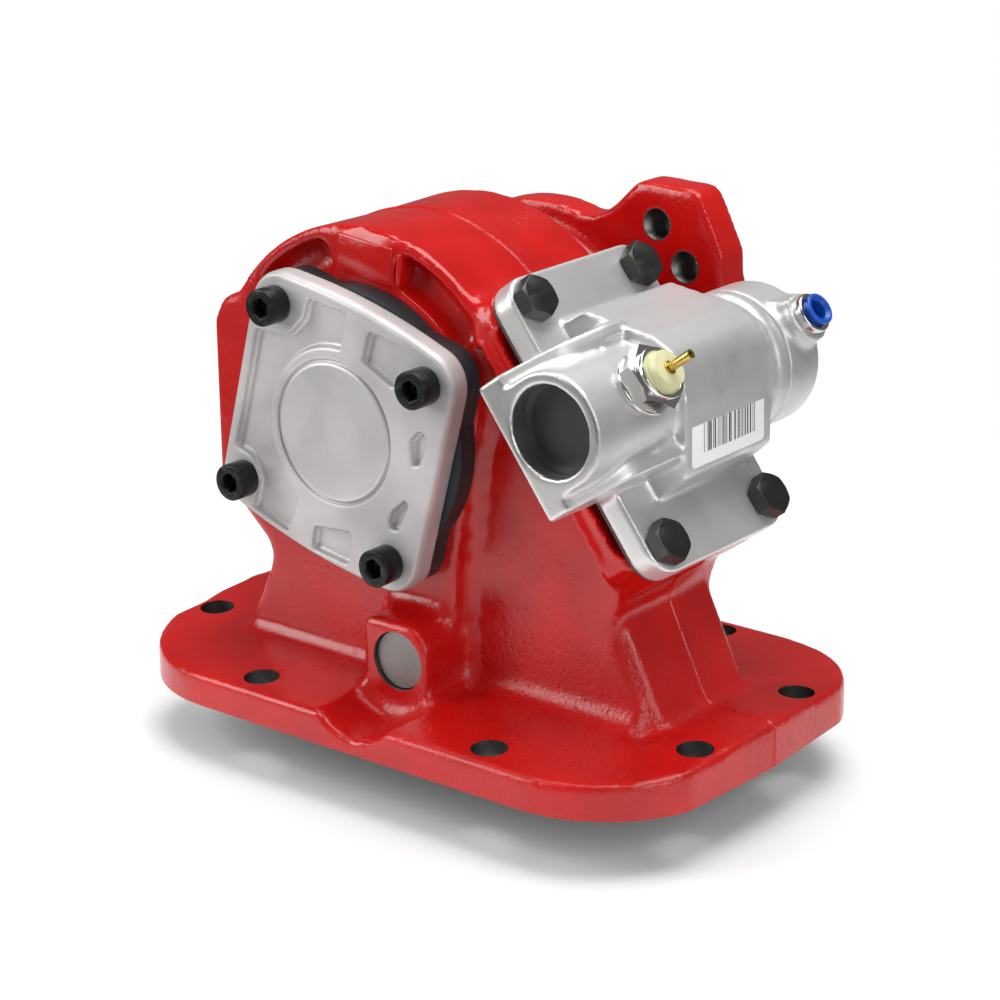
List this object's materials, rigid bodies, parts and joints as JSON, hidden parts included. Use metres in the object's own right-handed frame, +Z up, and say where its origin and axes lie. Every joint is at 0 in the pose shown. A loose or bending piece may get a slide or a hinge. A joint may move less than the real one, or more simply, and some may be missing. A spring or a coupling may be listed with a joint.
{
  "type": "power take off unit",
  "caption": "Cast gear housing with a bolt-down flange, an input gear below it, a sliding output gear, a bearing cap, a pump flange and an inclined air shift cover.",
  "frame": {"origin": "centre of the mounting flange's machined underside, which is also the centre of its holes", "axes": "+X to the right along the flange's long side seen from the bearing cap, +Y to the rear towards the pump flange, +Z up away from the mounting face"},
  "size_m": [0.2228, 0.1462, 0.1833],
  "materials": {
    "housing": "glossy red paint over cast iron",
    "bearing_cap": "die-cast, bare",
    "cap_shim": "dark spacer",
    "cap_screws": "black oxide",
    "cover_bolts": "black oxide",
    "cover_gasket": "thin gasket",
    "shift_cover": "die-cast, bare",
    "tube_plug": "dark",
    "air_cylinder": "die-cast, bare",
    "fitting_sleeve": "nickel plated",
    "fitting_collet": "blue plastic",
    "switch_body": "plated steel",
    "switch_insulator": "ivory plastic",
    "switch_terminal": "plain brass",
    "switch_ball": "ground",
    "shift_rod": "ground",
    "piston": "turned",
    "piston_seal": "moulded",
    "return_spring": "spring wire",
    "shift_fork": "cast, machined at the hub",
    "fork_pin": "ground",
    "output_shaft": "ground",
    "output_gear": "cut and hardened",
    "input_gear": "cut and hardened",
    "front_bearing_cone": "ground",
    "front_bearing_cup": "ground",
    "front_bearing_rollers": "ground",
    "rear_bearing_cone": "ground",
    "rear_bearing_cup": "ground",
    "rear_bearing_rollers": "ground",
    "shaft_seal": "moulded over steel",
    "idler_shaft": "ground, dull end",
    "idler_rollers": "ground",
    "thrust_washers": "ground"
  },
  "bodies": {
    "housing": {"housing": "housing", "bearing_cap": "bearing_cap", "cap_shim": "cap_shim", "cap_screws": "cap_screws", "shift_cover": "shift_cover", "cover_gasket": "cover_gasket", "cover_bolts": "cover_bolts", "tube_plug": "tube_plug", "air_cylinder": "air_cylinder", "fitting_sleeve": "fitting_sleeve", "switch_body": "switch_body", "switch_insulator": "switch_insulator", "switch_terminal": "switch_terminal", "switch_ball": "switch_ball", "return_spring": "return_spring", "front_bearing_cup": "front_bearing_cup", "rear_bearing_cup": "rear_bearing_cup", "shaft_seal": "shaft_seal", "idler_shaft": "idler_shaft", "thrust_washers": "thrust_washers"},
    "input_gear": {"input_gear": "input_gear"},
    "output_shaft": {"output_shaft": "output_shaft", "front_bearing_cone": "front_bearing_cone", "rear_bearing_cone": "rear_bearing_cone"},
    "output_gear": {"output_gear": "output_gear"},
    "shift_rod": {"shift_rod": "shift_rod", "piston": "piston", "piston_seal": "piston_seal", "shift_fork": "shift_fork", "fork_pin": "fork_pin"},
    "fitting_collet": {"fitting_collet": "fitting_collet"},
    "front_rollers": {"front_bearing_rollers": "front_bearing_rollers"},
    "rear_rollers": {"rear_bearing_rollers": "rear_bearing_rollers"},
    "idler_rollers": {"idler_rollers": "idler_rollers"}
  },
  "joints": [
    {"name": "input_gear_spin", "type": "hinge", "parent": "housing", "child": "input_gear", "pos_m": [0, 0, 0.0245], "axis": [0, 1, 0], "continuous": true},
    {"name": "output_shaft_spin", "type": "hinge", "parent": "housing", "child": "output_shaft", "pos_m": [-0.02537, 0, 0.09614], "axis": [0, 1, 0], "continuous": true},
    {"name": "rod_slide", "type": "slide", "parent": "housing", "child": "shift_rod", "axis": [0, 1, 0], "range_m": [0, 0.017], "deforming": ["return_spring"]},
    {"name": "gear_slide", "type": "slide", "parent": "output_shaft", "child": "output_gear", "axis": [0, 1, 0], "range_m": [0, 0.017]},
    {"name": "collet_press", "type": "slide", "parent": "housing", "child": "fitting_collet", "axis": [-0.8049, 0, -0.5934], "range_m": [0, 0.0015], "stiffness_N_per_m": 500},
    {"name": "front_rollers_orbit", "type": "hinge", "parent": "housing", "child": "front_rollers", "pos_m": [-0.02537, 0, 0.09614], "axis": [0, 1, 0], "continuous": true},
    {"name": "rear_rollers_orbit", "type": "hinge", "parent": "housing", "child": "rear_rollers", "pos_m": [-0.02537, 0, 0.09614], "axis": [0, 1, 0], "continuous": true},
    {"name": "idler_rollers_orbit", "type": "hinge", "parent": "housing", "child": "idler_rollers", "pos_m": [0, 0, 0.0245], "axis": [0, 1, 0], "continuous": true}
  ],
  "couplings": [
    {"joint": "output_shaft_spin", "follows": "input_gear_spin", "ratio": -1.1111},
    {"joint": "front_rollers_orbit", "follows": "input_gear_spin", "ratio": -0.46914},
    {"joint": "rear_rollers_orbit", "follows": "input_gear_spin", "ratio": -0.46914},
    {"joint": "idler_rollers_orbit", "follows": "input_gear_spin", "ratio": 0.58803},
    {"joint": "gear_slide", "follows": "rod_slide", "ratio": 1}
  ]
}
